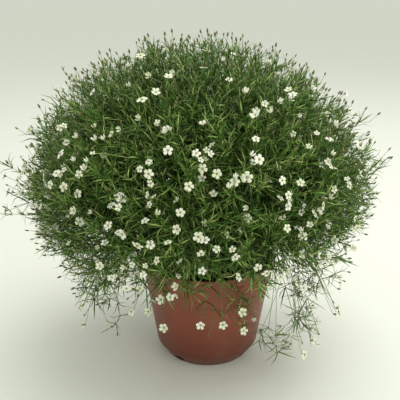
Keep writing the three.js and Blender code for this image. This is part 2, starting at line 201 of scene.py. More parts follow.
def lathed(profile, turns):
    """Points and faces of a profile turned round the Z axis; its ends lie on the axis."""
    points = [(0, 0, profile[0][1])]
    for radius, height in profile[1:-1]:
        for turn in range(turns):
            angle = 2 * math.pi * turn / turns
            points.append((radius * math.cos(angle), radius * math.sin(angle), height))
    points.append((0, 0, profile[-1][1]))
    faces = []
    for turn in range(turns):
        on = (turn + 1) % turns
        faces.append((0, 1 + on, 1 + turn))
        for ring in range(len(profile) - 3):
            low, high = 1 + ring * turns, 1 + (ring + 1) * turns
            faces.append((low + turn, low + on, high + on, high + turn))
        last = 1 + (len(profile) - 3) * turns
        faces.append((last + turn, last + on, len(points) - 1))
    return points, faces


def settled(maker):
    """The mesh of an object with its modifiers applied, which then has none."""
    graph = bpy.context.evaluated_depsgraph_get()
    mesh = bpy.data.meshes.new_from_object(maker.evaluated_get(graph))
    maker.modifiers.clear()
    old, maker.data = maker.data, mesh
    mesh.name = maker.name
    bpy.data.meshes.remove(old)


pot = mesh_object("grower_pot", *lathed(rounded(POT_CORNERS), POT_TURNS))
slots = []
for turn in DRAIN_TURNS:
    slot_mesh = bmesh.new()
    bmesh.ops.create_cube(slot_mesh, size=1)
    bmesh.ops.scale(slot_mesh, vec=DRAIN_SIZE, verts=slot_mesh.verts)
    along = [edge for edge in slot_mesh.edges if abs((edge.verts[0].co - edge.verts[1].co).x) > 1]
    bmesh.ops.bevel(slot_mesh, geom=along, offset=DRAIN_ROUNDING, segments=3, affect="EDGES")
    bmesh.ops.translate(slot_mesh, vec=DRAIN_PLACE, verts=slot_mesh.verts)
    corners = []
    for corner in slot_mesh.verts:
        x, y, z = corner.co
        corners.append((x * math.cos(turn) - y * math.sin(turn), x * math.sin(turn) + y * math.cos(turn), z))
    sides = [[corner.index for corner in face.verts] for face in slot_mesh.faces]
    slots.append(mesh_object("drain", corners, sides))
    slot_mesh.free()
    cut = pot.modifiers.new("drain", "BOOLEAN")
    cut.operation = "DIFFERENCE"
    cut.object = slots[-1]
settled(pot)
for slot_piece in slots:
    bpy.data.objects.remove(slot_piece)
pot.data.shade_smooth()
pot.data.set_sharp_from_angle(angle=SHARP_FROM)

# Moulded polypropylene: satin, with pigment in faint clouds 20 mm wide, a colour that is darker towards the
# bottom of the wall, dusty olive patches 35 mm wide where water dried, specks of soil 1.5 mm wide low down,
# and a faint orange-peel surface of 1 mm.
plastic, tree, shader = new_material("moulded polypropylene", Roughness=0.5, IOR=1.49)
place = add_node(tree, "ShaderNodeTexCoord").outputs["Object"]
cloud = add_node(tree, "ShaderNodeTexNoise", {"Vector": place, "Scale": 45.0, "Detail": 4.0})
height = add_node(tree, "ShaderNodeSeparateXYZ", {"Vector": place}).outputs["Z"]
low_part = add_node(
    tree,
    "ShaderNodeMapRange",
    {"Value": height, "From Min": 0.012, "From Max": 0.055, "To Min": 1.0, "To Max": 0.0},
)
dust_cloud = add_node(
    tree, "ShaderNodeTexNoise", {"Vector": place, "Scale": 28.0, "Detail": 6.0, "Roughness": 0.65}
)
dust = add_node(
    tree,
    "ShaderNodeMapRange",
    {"Value": dust_cloud.outputs["Fac"], "From Min": 0.55, "From Max": 0.75, "To Max": DUST_MOST},
)
grit = add_node(tree, "ShaderNodeTexNoise", {"Vector": place, "Scale": 700.0, "Detail": 2.0})
grit_low = add_node(
    tree,
    "ShaderNodeMapRange",
    {"Value": height, "From Min": 0.0, "From Max": 0.03, "To Min": 0.66, "To Max": 0.86},
)
speck = add_node(
    tree, "ShaderNodeMath", {0: grit.outputs["Fac"], 1: grit_low.outputs[0]}, operation="GREATER_THAN"
)

# Each layer of colour covers what lies under it as far as its factor says
colour = linear("#773824")
for factor, layer in [
    (cloud.outputs["Fac"], "#8d4832"),
    (low_part.outputs[0], "#642c1c"),
    (dust.outputs[0], "#826f50"),
    (speck.outputs[0], "#2a1f18"),
]:
    mixed = add_node(tree, "ShaderNodeMix", {"Factor": factor, 6: colour, 7: linear(layer)}, data_type="RGBA")
    colour = mixed.outputs[2]
tree.links.new(colour, shader.inputs["Base Color"])
gloss = add_node(
    tree,
    "ShaderNodeMapRange",
    {"Value": dust.outputs[0], "From Max": DUST_MOST, "To Min": 0.42, "To Max": 0.7},
)
tree.links.new(gloss.outputs[0], shader.inputs["Roughness"])
peel = add_node(tree, "ShaderNodeTexNoise", {"Vector": place, "Scale": 900.0, "Detail": 1.0})
bump = add_node(tree, "ShaderNodeBump", {"Height": peel.outputs["Fac"], "Strength": 0.08, "Distance": 0.0003})
tree.links.new(bump.outputs[0], shader.inputs["Normal"])
pot.data.materials.clear()
pot.data.materials.append(plastic)
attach(pot, "root")
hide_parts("pot")


# Soil
# Dark potting soil of peat and composted bark, pressed in loosely to a little under the rim. Its top is
# crumbly, with lumps of peat and chips of bark a few millimetres wide.
SOIL_TOP = 86
SOIL_EDGE = 59.9
SOIL_RINGS = 34
SOIL_TURNS = 96
SOIL_SIDE = [(0, 1.9), (39, 1.9), (48.3, 12.3)]
SOIL_WAVE = 0.9
SOIL_RIPPLES = (0.11, 0.13)
LUMP_HEIGHT = 1.1
LUMPS_PER_MM = 0.16
LUMP_DETAIL = (0.6, 2.1, 4)
CRUMBS_PER_AREA = 60000.0
CRUMB_RADIUS = 0.0017
CRUMB_LEAST = (0.3, 0.25, 0.2)
CRUMB_MOST = (1.3, 0.9, 0.6)
CRUMB_TURNS = (6.3, 6.3, 6.3)
CRUMB_SEED = 3
TOP_BAND = 4

soil_top = [(SOIL_EDGE * n / SOIL_RINGS, SOIL_TOP) for n in range(SOIL_RINGS, -1, -1)]
points, faces = lathed(SOIL_SIDE + soil_top, SOIL_TURNS)
soil_points = []
for x, y, z in points:
    if z == SOIL_TOP:
        inner = max(0.0, 1 - (math.hypot(x, y) / SOIL_EDGE) ** 6)
        lump = noise.fractal(Vector((x, y, 3)) * LUMPS_PER_MM, *LUMP_DETAIL)
        wave = SOIL_WAVE * math.sin(x * SOIL_RIPPLES[0] + 1) * math.cos(y * SOIL_RIPPLES[1])
        z += wave * inner + LUMP_HEIGHT * lump * inner
    soil_points.append((x, y, z))
soil = mesh_object("potting_soil", soil_points, faces)
soil.data.shade_smooth()

# Peat and bark: dull, from black-brown to fox brown, with a few pale chips. The colour runs in patches
# about 3 mm wide, and the crumbly grain is 1 mm.
peat, tree, shader = new_material("peat and bark compost", Roughness=0.95, Specular_IOR_Level=0.25)
place = add_node(tree, "ShaderNodeTexCoord").outputs["Object"]
patches = add_node(tree, "ShaderNodeTexVoronoi", {"Vector": place, "Scale": 380.0})
shade = add_node(tree, "ShaderNodeSeparateColor", {"Color": patches.outputs["Color"]}).outputs[0]
browns = add_node(tree, "ShaderNodeValToRGB", {"Fac": shade})
browns.color_ramp.elements[0].color = linear("#15100c")
browns.color_ramp.elements[1].color = linear("#6b4c33")
browns.color_ramp.elements.new(0.8).color = linear("#33241a")
tree.links.new(browns.outputs["Color"], shader.inputs["Base Color"])
crumble = add_node(tree, "ShaderNodeTexNoise", {"Vector": place, "Scale": 900.0, "Detail": 5.0})
bump = add_node(
    tree, "ShaderNodeBump", {"Height": crumble.outputs["Fac"], "Strength": 0.8, "Distance": 0.0008}
)
tree.links.new(bump.outputs[0], shader.inputs["Normal"])
soil.data.materials.append(peat)


def new_tree(name, sizes):
    """A Geometry Nodes tree with a geometry input and output and the named inputs in sizes."""
    made = bpy.data.node_groups.new(name, "GeometryNodeTree")
    made.interface.new_socket("Geometry", in_out="INPUT", socket_type="NodeSocketGeometry")
    for title, (kind, value) in sizes.items():
        socket = made.interface.new_socket(title, in_out="INPUT", socket_type="NodeSocket" + kind)
        if value is not None:
            socket.default_value = value
    made.interface.new_socket("Geometry", in_out="OUTPUT", socket_type="NodeSocketGeometry")
    return made, add_node(made, "NodeGroupInput").outputs, add_node(made, "NodeGroupOutput").inputs


def grow(maker, made_tree, values):
    """Runs a tree on an object with these values for its named inputs, and keeps a plain mesh."""
    modifier = maker.modifiers.new(made_tree.name, "NODES")
    modifier.node_group = made_tree
    for item in made_tree.interface.items_tree:
        if item.in_out == "INPUT" and item.name in values:
            modifier[item.identifier] = values[item.name]
    settled(maker)


crumb_tree, given, result = new_tree(
    "soil crumbs",
    {
        "Count Per Area": ("Float", CRUMBS_PER_AREA),
        "Crumb Size": ("Float", CRUMB_RADIUS),
        "Seed": ("Int", CRUMB_SEED),
        "Peat": ("Material", None),
    },
)
spot = add_node(crumb_tree, "GeometryNodeInputPosition").outputs[0]
high = add_node(crumb_tree, "ShaderNodeSeparateXYZ", {"Vector": spot}).outputs["Z"]
on_top = add_node(
    crumb_tree, "FunctionNodeCompare", {0: high, 1: (SOIL_TOP - TOP_BAND) * MM}, operation="GREATER_THAN"
)
spread = add_node(
    crumb_tree,
    "GeometryNodeDistributePointsOnFaces",
    {
        "Mesh": given["Geometry"],
        "Selection": on_top.outputs[0],
        "Density": given["Count Per Area"],
        "Seed": given["Seed"],
    },
)
lump = add_node(crumb_tree, "GeometryNodeMeshIcoSphere", {"Radius": given["Crumb Size"], "Subdivisions": 1})
size_draw = add_node(
    crumb_tree,
    "FunctionNodeRandomValue",
    {0: CRUMB_LEAST, 1: CRUMB_MOST, "Seed": given["Seed"]},
    data_type="FLOAT_VECTOR",
)
turn_draw = add_node(
    crumb_tree,
    "FunctionNodeRandomValue",
    {0: (0, 0, 0), 1: CRUMB_TURNS, "Seed": given["Seed"]},
    data_type="FLOAT_VECTOR",
)
strewn = add_node(
    crumb_tree,
    "GeometryNodeInstanceOnPoints",
    {
        "Points": spread.outputs["Points"],
        "Instance": lump.outputs["Mesh"],
        "Rotation": add_node(crumb_tree, "FunctionNodeEulerToRotation", {0: turn_draw.outputs[0]}).outputs[0],
        "Scale": size_draw.outputs[0],
    },
)
real = add_node(crumb_tree, "GeometryNodeRealizeInstances", {"Geometry": strewn.outputs[0]})
joined = add_node(crumb_tree, "GeometryNodeJoinGeometry", {"Geometry": real.outputs[0]})
crumb_tree.links.new(given["Geometry"], joined.inputs[0])
painted = add_node(
    crumb_tree, "GeometryNodeSetMaterial", {"Geometry": joined.outputs[0], "Material": given["Peat"]}
)
crumb_tree.links.new(painted.outputs[0], result["Geometry"])
grow(soil, crumb_tree, {"Peat": peat})
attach(soil, "root")
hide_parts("soil")


# Leafy sprays
# Each is one main stem that forks into threads, with narrow leaves in opposite pairs and a bud at each end.
# The threads are 0.4 to 0.8 mm thick and lean on each other, which holds the cushion up.
UP = np.array([0, 0, 1])
GOLDEN_TURN = math.radians(137.508)

# The dome: its middle, its half sizes, then its half height and how boxy its outline is (2 is an ellipse)
DOME_MIDDLE = np.array([-9.0, 0.0, 187.0])
DOME_SIZES = np.array([150.0, 142.0])
DOME_ABOVE = (107, 2.15)
DOME_BELOW = (97, 3)
SHOOTS_ABOVE = (112, 1.7)

# The main stems: where the sprays end, and how each rises, leans out and falls over
STRAYS = [(-184, -12, 166), (-118, -42, 62), (-50, -88, 84), (12, -92, 74), (94, -62, 40), (120, -38, 60)]
SPRAYS = 28
DOME_SPRAYS = SPRAYS - len(STRAYS)
LOWEST_LIFT = -0.5
FRONT_PULL = 0.25
ROOT_HEIGHT = 77
ROOT_INNER = 4
ROOT_SPREAD = 26
ROOT_STRAY = 37
ROOT_FALL = 170
RISE_OUT = 6
RISE_HEIGHT = 141
RISE_PER_DROOP = 0.35
DROOP_BELOW = 165
BEND_OUT = 0.68
BEND_PER_DROOP = 0.9
BEND_PER_HEIGHT = 0.3
STEM_SHARE = 0.8
STEM_THICKNESS = (2.0, 1.3)
TWIG_THICKNESS = (0.8, 0.5)
LEAF_WIDTH = 1.25
BUD_SIZE = (3.2, 1.5)

# A leaf's or bud's tip in the solids, told by how wide its foot is and how far off it stands
LEAF_FOOT_WITHIN = 2
LEAF_FROM = 7
BUD_FOOT_WITHIN = 1.3
BUD_FROM = 1.5

# The fine shoots: how many of each kind, and where they may be
SHOOTS = 1750
DEEP_SHOOTS = 460
LOW_SHOOTS = 10
SHOOTS_FROM = -0.74
SHOOTS_OVER_RIM = 124
RIM_FRONT = -25
RIM_SIDES = (-75, 105)
SHOOT_LIMITS = ((-185, -150, 90), (146, 150, 297))

# How many leaves sit at a joint, and factors for their length, their width and the joints' step
SHOOT_LEAVES = {
    "outer": (2, 1.0, 1.0, 1.0),
    "deep": (2, 1.5, 2.1, 1.0),
    "low": (2, 1.5, 2.1, 1.0),
    "stray": (4, 1.1, 1.0, 2.4),
}

# Where along its main stem a shoot parts
OUTER_PARTS = (0.3, 0.78)
STRAY_PARTS = (0.45, 0.8)
LOW_PARTS = (0.06, 0.3)

# A shoot's own form, and that of the stalks at its end
SHOOT_THICKNESS = (0.6, 0.42)
SHOOT_BENDS = (0.35, 26)
LEAFY_REACH = 42
PAIR_STEP = 6.5
LEAST_PAIRS = 3
TUFTED_JOINTS = 3
FINE_LEAF_WIDTH = 1.12
LEAF_LENGTHS = (11, 19)
LEAF_LENGTH_FACTORS = (0.8, 1.15)
LEAF_WIDTH_FACTORS = (0.75, 1.15)
PAIR_FORWARDS = (0.55, 1.5)
TUFT_FORWARDS = (0.1, 0.9)
LEAF_SWAY = 0.25
STALK_TURN = 2.3
STALK_TURN_DRAW = 0.8
STALK_PARTINGS = (0.3, 0.75)
STALK_LENGTHS = (5, 13)
TOP_STALK_MORE = 6
STALK_THICKNESS = (0.42, 0.36)
FINE_BLOOM_RADII = (2.6, 4.0)
FINE_BUD_FACTORS = (0.95, 1.35)

# The strays: how many shoots each has, how far these spread, fall back and rise
STRAY_SHOOTS = [(4, 0), (12, 46), (4, 0), (3, 0), (6, 20), (8, 30)]
STRAY_SPREAD = 32
STRAY_BACK = 34

# The shoots over the soil, and those deep in the dome and at its outside, by where they end
LOW_HEIGHTS = (108, 150)
LOW_REACH = (20, 55)
LOW_REACH_PER_HEIGHT = 1.2
DEEP_STANDS = (-75, -24)
OUTER_STANDS = (-26, -2, 7)
LOOSE_STAND = 5
WILD_SHARE = 0.07
WILD_BELOW = 0.6
WILD_STANDS = (6, 16)

# Blooms come in patches below a height: the share of stalks with a bloom in a patch and elsewhere
BLOOMS_BELOW = 235
BLOOM_PATCH = 26
PATCH_FROM = 0.02
BLOOM_SHARES = (0.45, 0.03)

# The kinds of seats, the forms of a leaf (arch, sag) and of a bloom (lift, narrowing, raggedness)
LEAF, BUD, BLOOM = 1, 2, 3
LEAF_FORMS = [(0.08, 0.02), (0.14, 0.10), (0.03, -0.06)]
BLOOM_FORMS = [(0.0, 1.0, 0.04), (0.3, 0.92, 0.07), (-0.2, 1.0, 0.08), (1.1, 0.72, 0.08)]


def unit(vector):
    """A vector brought to a length of one."""
    return vector / max(np.linalg.norm(vector), 1e-9)


def dome_point(way, above=DOME_ABOVE):
    """Where the dome's surface lies in a direction from its middle."""
    way = unit(way)
    tall, boxiness = above if way[2] > 0 else DOME_BELOW
    flat = math.hypot(*(way[:2] / DOME_SIZES)) ** boxiness
    return DOME_MIDDLE + way * (flat + abs(way[2] / tall) ** boxiness) ** (-1 / boxiness)


def spray_tip(number):
    """Where a spray ends: first those of the dome, in a spiral from its top down, then the strays."""
    if number >= DOME_SPRAYS:
        return np.array(STRAYS[number - DOME_SPRAYS], float)
    lift = 1 + (LOWEST_LIFT - 1) * (number + 0.5) / DOME_SPRAYS
    flat = math.sqrt(1 - lift * lift)
    even = number * GOLDEN_TURN
    turn = even - FRONT_PULL * math.cos(even)
    return dome_point(np.array([flat * math.cos(turn), flat * math.sin(turn), lift]))


def bezier(controls, shares):
    """Points of a cubic curve at these shares of its length parameter."""
    s = np.array(shares, float)[:, None]
    a, b, c, d = (np.array(point, float) for point in controls)
    return a * (1 - s) ** 3 + 3 * b * s * (1 - s) ** 2 + 3 * c * s**2 * (1 - s) + d * s**3


def spray_line(tip, stray):
    """The control points of a spray's line from the soil up, outwards and over to its tip."""
    reach = math.hypot(tip[0], tip[1])
    fall = min(max((DOME_MIDDLE[2] + DOME_ABOVE[0] - tip[2]) / ROOT_FALL, 0), 1)
    root = ROOT_STRAY if stray else ROOT_INNER + ROOT_SPREAD * math.sqrt(fall)
    droop = max(0, DROOP_BELOW - tip[2])
    lift = max(0, tip[2] - DROOP_BELOW)
    at = lambda radius, height: np.array([tip[0] / reach * radius, tip[1] / reach * radius, height])
    rise = at(root + RISE_OUT, RISE_HEIGHT + RISE_PER_DROOP * droop)
    bend = at(reach * BEND_OUT, tip[2] + BEND_PER_DROOP * droop - BEND_PER_HEIGHT * lift)
    return [at(root, ROOT_HEIGHT), rise, bend, tip]


class Growth:
    """What a spray is made of: threads with a thickness along them, and points where its parts sit."""

    def __init__(self):
        self.points, self.edges, self.thickness = [], [], []
        self.seats = []

    def thread(self, line, start, end):
        """A thread along a line, from one thickness to another."""
        first = len(self.points)
        for n, point in enumerate(line):
            self.points.append(point)
            self.thickness.append(start + (end - start) * n / (len(line) - 1))
            if n:
                self.edges.append((first + n - 1, first + n))

    def seat(self, kind, point, along, upper, size, shape=0, tone=0.5, depth=1.0):
        """A place for a leaf, bud or bloom; tone draws its colour, and depth is 1 at the dome's outside; a
        leaf with lower depth gets more painted shade.
        """
        self.seats.append((kind, point, along, upper, size, shape, tone, depth))

    def maker(self, name):
        """A mesh object that holds the threads as edges and the seats as loose points, with their facts."""
        made = mesh_object(name, self.points + [seat[1] for seat in self.seats], [], self.edges)
        bare = len(self.points)
        facts = {
            "kind": ("INT", [0] * bare + [seat[0] for seat in self.seats]),
            "thick": ("FLOAT", [t * MM / 2 for t in self.thickness] + [0.0] * len(self.seats)),
            "along": ("FLOAT_VECTOR", [(1, 0, 0)] * bare + [unit(seat[2]) for seat in self.seats]),
            "upper": ("FLOAT_VECTOR", [(0, 0, 1)] * bare + [unit(seat[3]) for seat in self.seats]),
            "size": ("FLOAT_VECTOR", [(0, 0, 0)] * bare + [np.array(seat[4]) * MM for seat in self.seats]),
            "shape": ("INT", [0] * bare + [seat[5] for seat in self.seats]),
            "tone": ("FLOAT", [0.5] * bare + [seat[6] for seat in self.seats]),
            "depth": ("FLOAT", [0.7] * bare + [seat[7] for seat in self.seats]),
        }
        for title, (kind, values) in facts.items():
            fact = made.data.attributes.new(title, kind, "POINT")
            field = "vector" if kind == "FLOAT_VECTOR" else "value"
            fact.data.foreach_set(field, np.array(values).ravel())
        return made


def read_node(name):
    """The joined points of a CAD node in millimetres, and for each the points it has an edge to."""
    mesh = frame["nodes"][name].data
    loose = np.array([vertex.co for vertex in mesh.vertices]) / MM
    points, joined = np.unique(loose.round(3), axis=0, return_inverse=True)
    joined = joined.ravel()
    beside = [set() for _ in points]
    for face in mesh.polygons:
        corners = [int(joined[n]) for n in face.vertices]
        for n, corner in enumerate(corners):
            beside[corner].update({corners[n - 1], corners[(n + 1) % len(corners)]} - {corner})
    return points, beside


def read_leafy(name):
    """The leaves of a CAD spray as (foot, tip) and its twigs as lines that end at their bud's tip."""
    points, beside = read_node(name)
    leaves, tips, buds = [], set(), []
    for n, others in enumerate(beside):
        around = points[sorted(others)]
        middle = around.mean(0)
        wide = np.linalg.norm(around - middle, axis=1).max()
        far = np.linalg.norm(points[n] - middle)
        if len(others) == 4 and wide < LEAF_FOOT_WITHIN and far > LEAF_FROM:
            leaves.append((middle, points[n]))
            tips.add(n)
        elif len(others) == 3 and wide < BUD_FOOT_WITHIN and far > BUD_FROM:
            buds.append(n)
    twigs = []
    for bud in buds:
        line, seen, level = [points[bud]], {bud}, {bud}
        while True:
            seen |= level
            level = set().union(*(beside[n] for n in level)) - seen - tips
            if len(level) != 3:
                break
            line.append(points[sorted(level)].mean(0))
        line.append(points[sorted(level)].mean(0) if level else line[-1])
        twigs.append(line[::-1])
    return leaves, twigs


def leaf_whorl(growth, count, point, way, across, length, width, draw, depth):
    """Narrow leaves round a joint of a thread, which turn up and out: an opposite pair, or a tuft."""
    for n in range(count):
        turn = 2 * math.pi * n / count
        out = across * math.cos(turn) + np.cross(way, across) * math.sin(turn)
        out = unit(out + LEAF_SWAY * draw.normal(size=3))
        along = unit(out + way * draw.uniform(*PAIR_FORWARDS))
        if count > 3:
            along = unit(out + way * draw.uniform(*TUFT_FORWARDS) + 0.25 * UP)
        long = length * draw.uniform(*LEAF_LENGTH_FACTORS)
        wide = width * draw.uniform(*LEAF_WIDTH_FACTORS)
        shape = int(draw.integers(len(LEAF_FORMS)))
        growth.seat(LEAF, point, along, way, (long, wide, long), shape, draw.uniform(), depth)


def ends_of(growth, flowers, bloom_share, point, way, draw, depth):
    """One or two thin stalks that part at a thread's end, each with a bud or, more seldom, a bloom."""
    side = unit(np.cross(way, draw.normal(size=3)))
    for n in range(int(draw.integers(1, 3))):
        turn = n * STALK_TURN + draw.uniform(0, STALK_TURN_DRAW)
        out = side * math.cos(turn) + np.cross(way, side) * math.sin(turn)
        aim = unit(way + out * draw.uniform(*STALK_PARTINGS) + 0.2 * UP)
        long = draw.uniform(*STALK_LENGTHS) + (draw.uniform(0, TOP_STALK_MORE) if way[2] > 0.6 else 0)
        end = point + aim * long
        middle = point + unit(aim + out * 0.5) * long * 0.5
        blooms = draw.uniform() < bloom_share
        holder = flowers if blooms else growth
        holder.thread([point, middle, end], *STALK_THICKNESS)
        if blooms:
            wide = draw.uniform(*FINE_BLOOM_RADII)
            facing = unit(end - middle) + 0.45 * draw.normal(size=3) + 0.2 * UP
            shape = len(BLOOM_FORMS) + int(draw.integers(len(BLOOM_FORMS)))
            holder.seat(BLOOM, end, facing, side, (wide, wide, wide), shape, draw.uniform(), depth)
        else:
            wide = draw.uniform(*FINE_BUD_FACTORS)
            size = (BUD_SIZE[0] * wide, BUD_SIZE[1] * wide, BUD_SIZE[1] * wide)
            holder.seat(BUD, end, unit(end - middle), side, size, 0, draw.uniform(), depth)


def even_ways(count):
    """Directions from the dome's middle, evenly over its surface in a spiral from the top down."""
    ways = []
    for n in range(count):
        lift = 1 + (SHOOTS_FROM - 1) * (n + 0.5) / count
        flat = math.sqrt(1 - lift * lift)
        turn = n * GOLDEN_TURN
        tall = DOME_ABOVE[0] if lift > 0 else DOME_BELOW[0]
        x = DOME_SIZES[0] * flat * math.cos(turn)
        y = DOME_SIZES[1] * flat * math.sin(turn)
        ways.append(unit(np.array([x, y, tall * lift])))
    return ways


def shoot(growth, flowers, bloom_share, start, way, end, out, draw, depth, leaves):
    """A thin thread from a stem to an end, with leaves on its outer part and stalks at its tip."""
    span = np.linalg.norm(end - start)
    last = unit(0.55 * out + 0.4 * unit(end - start) + 0.6 * UP + 0.4 * draw.normal(size=3))
    first = unit(way + 0.7 * unit(end - start) + 0.2 * draw.normal(size=3))
    bend, bend_most = SHOOT_BENDS
    controls = [start, start + first * span * bend, end - last * min(span * bend, bend_most), end]
    leafy = min(span, LEAFY_REACH)
    together, longer, wider, further = leaves
    count = max(LEAST_PAIRS, int(leafy / PAIR_STEP / further))
    bare = 1 - leafy / span
    inner = np.linspace(0, bare, 4)[:-1] if bare > 0.1 else np.array([0.0])
    line = bezier(controls, np.concatenate([inner, np.linspace(bare, 1, count + 1)]))
    growth.thread(line, *SHOOT_THICKNESS)
    across = unit(np.cross(line[1] - line[0], draw.normal(size=3)))
    for n in range(count):
        point = line[-count + n]
        here = unit(point - line[-count + n - 1])
        across = unit(np.cross(here, across + 0.3 * draw.normal(size=3)))
        length = draw.uniform(*LEAF_LENGTHS) * longer * (1 - 0.2 * (n / count) ** 3)
        # A leaf lower on its shoot gets a lower depth, and so more painted shade
        level = depth * (0.45 + 0.55 * (n + 1) / count)
        tuft = together + 1 if n >= count - TUFTED_JOINTS else together
        leaf_whorl(growth, tuft, point, here, across, length, FINE_LEAF_WIDTH * wider, draw, level)
    if flowers:
        ends_of(growth, flowers, bloom_share, line[-1], unit(line[-1] - line[-2]), draw, depth)


# Leaf blade and bud, one unit long: the blade is three-sided with a flat upper face and arches down to its
# tip, in three curves. The bud is a closed calyx, round at the foot and pointed.
leaf_shapes = bpy.data.collections.new("leaf shapes")
bud_shapes = bpy.data.collections.new("bud shapes")


def keep_shape(name, points, faces, shapes):
    """A smooth body kept aside, as a shape to repeat."""
    made = mesh_object(name, np.array(points) / MM, faces)
    made.data.shade_smooth()
    bpy.context.scene.collection.objects.unlink(made)
    shapes.objects.link(made)


def ring_faces(count, rings, first=0):
    """The side faces of a body through rings of points, each joined to the next."""
    faces = []
    for ring in range(rings - 1):
        low, high = first + ring * count, first + (ring + 1) * count
        for k in range(count):
            on = (k + 1) % count
            faces.append((low + k, low + on, high + on, high + k))
    return faces


def pointed_body(rings, end):
    """Points and faces of a body through rings, from a flat foot to a pointed end."""
    count = len(rings[0])
    points = [point for ring in rings for point in ring] + [end]
    last = (len(rings) - 1) * count
    faces = [tuple(reversed(range(count)))] + ring_faces(count, len(rings))
    faces += [(last + k, last + (k + 1) % count, last + count) for k in range(count)]
    return points, faces


LEAF_RINGS = [(0, 0.34), (0.5, 0.5)]
LEAF_KEEL = 0.024
BUD_RINGS = [(0.02, 0.24), (0.36, 0.5), (0.74, 0.34)]

for n, (arch, sag) in enumerate(LEAF_FORMS):
    rings = []
    for share, half in LEAF_RINGS:
        rise = arch * math.sin(math.pi * share) - sag * share**2
        rings.append([(share, half, rise), (share, -half, rise), (share, 0, rise - LEAF_KEEL)])
    keep_shape("leaf %d" % n, *pointed_body(rings, (1, 0, -sag)), leaf_shapes)

quarters = [(math.cos(k * math.pi / 2), math.sin(k * math.pi / 2)) for k in range(4)]
rings = [[(share, half * y, half * z) for y, z in quarters] for share, half in BUD_RINGS]
keep_shape("bud", *pointed_body(rings, (1, 0, 0)), bud_shapes)

# Leaf: thin, slightly waxy green skin. Each leaf has its own green, from deep green to pale yellow-green,
# and those inside the dome get painted shade: their green is mixed towards a near-black green.
leaf_skin, tree, shader = new_material("waxy leaf skin", Roughness=0.42, IOR=1.42, Specular_IOR_Level=0.42)
tone = add_node(tree, "ShaderNodeAttribute", attribute_name="tone").outputs["Fac"]
depth = add_node(tree, "ShaderNodeAttribute", attribute_name="depth").outputs["Fac"]
greens = add_node(tree, "ShaderNodeValToRGB", {"Fac": tone})
greens.color_ramp.elements[0].color = linear("#40661f")
greens.color_ramp.elements[1].color = linear("#adc272")
greens.color_ramp.elements.new(0.55).color = linear("#587f2b")
# Painted shade: the lower a leaf's depth, the more its green is mixed towards the dark green #16280d
shade = add_node(
    tree,
    "ShaderNodeMapRange",
    {"Value": depth, "From Min": 0.3, "From Max": 0.9, "To Min": 0.4, "To Max": 1.0},
)
painted_shade_green = add_node(
    tree,
    "ShaderNodeMix",
    {"Factor": shade.outputs[0], 6: linear("#16280d"), 7: greens.outputs["Color"]},
    data_type="RGBA",
)
tree.links.new(painted_shade_green.outputs[2], shader.inputs["Base Color"])

# Stem: the same green with more yellow, smooth and round.
stem_skin, _, _ = new_material("green stem skin", Base_Color=linear("#62803a"), Roughness=0.45, IOR=1.42)

# Bud: a green calyx with brown ribs too fine to tell apart, so that it looks olive.
calyx_skin, tree, shader = new_material("ribbed calyx", Roughness=0.6, IOR=1.42)
tone = add_node(tree, "ShaderNodeAttribute", attribute_name="tone").outputs["Fac"]
olives = add_node(tree, "ShaderNodeValToRGB", {"Fac": tone})
olives.color_ramp.elements[0].color = linear("#5f7836")
olives.color_ramp.elements[1].color = linear("#6f6a40")
tree.links.new(olives.outputs["Color"], shader.inputs["Base Color"])

# Blooms pass through the same tree. Their petals, cups and hearts are shaped with the flower sprays.
petal_shapes = bpy.data.collections.new("petal shapes")
cup_shapes = bpy.data.collections.new("cup shapes")
heart_shapes = bpy.data.collections.new("heart shapes")

spray_tree, given, result = new_tree(
    "spray",
    {
        "Thread Sides": ("Int", 3),
        "Stem": ("Material", stem_skin),
        "Leaves": ("Collection", leaf_shapes),
        "Leaf": ("Material", leaf_skin),
        "Buds": ("Collection", bud_shapes),
        "Bud": ("Material", calyx_skin),
        "Petals": ("Collection", petal_shapes),
        "Petal": ("Material", None),
        "Cups": ("Collection", cup_shapes),
        "Hearts": ("Collection", heart_shapes),
        "Heart": ("Material", None),
    },
)


def fact(title, kind):
    """The output that reads one fact of the sprays' points."""
    return add_node(spray_tree, "GeometryNodeInputNamedAttribute", {"Name": title}, data_type=kind).outputs[0]


def of_kind(kind):
    """The points of one kind."""
    same = add_node(spray_tree, "FunctionNodeCompare", data_type="INT", operation="EQUAL")
    spray_tree.links.new(fact("kind", "INT"), same.inputs[2])
    same.inputs[3].default_value = kind
    parted = add_node(
        spray_tree,
        "GeometryNodeSeparateGeometry",
        {"Geometry": given["Geometry"], "Selection": same.outputs[0]},
    )
    return parted.outputs["Selection"]


def repeat(kind, shapes, paint, along_axis, upper_axis):
    """One of the shapes at each point of a kind, turned to its directions and painted."""
    shown = add_node(
        spray_tree, "GeometryNodeCollectionInfo", {"Collection": given[shapes], "Separate Children": True}
    )
    turned = add_node(
        spray_tree,
        "FunctionNodeAxesToRotation",
        {0: fact("along", "FLOAT_VECTOR"), 1: fact("upper", "FLOAT_VECTOR")},
        primary_axis=along_axis,
        secondary_axis=upper_axis,
    )
    placed = add_node(
        spray_tree,
        "GeometryNodeInstanceOnPoints",
        {
            "Points": of_kind(kind),
            "Instance": shown.outputs[0],
            "Pick Instance": True,
            "Instance Index": fact("shape", "INT"),
            "Rotation": turned.outputs[0],
            "Scale": fact("size", "FLOAT_VECTOR"),
        },
    )
    real = add_node(spray_tree, "GeometryNodeRealizeInstances", {"Geometry": placed.outputs[0]})
    painted = add_node(
        spray_tree, "GeometryNodeSetMaterial", {"Geometry": real.outputs[0], "Material": given[paint]}
    )
    return painted.outputs[0]


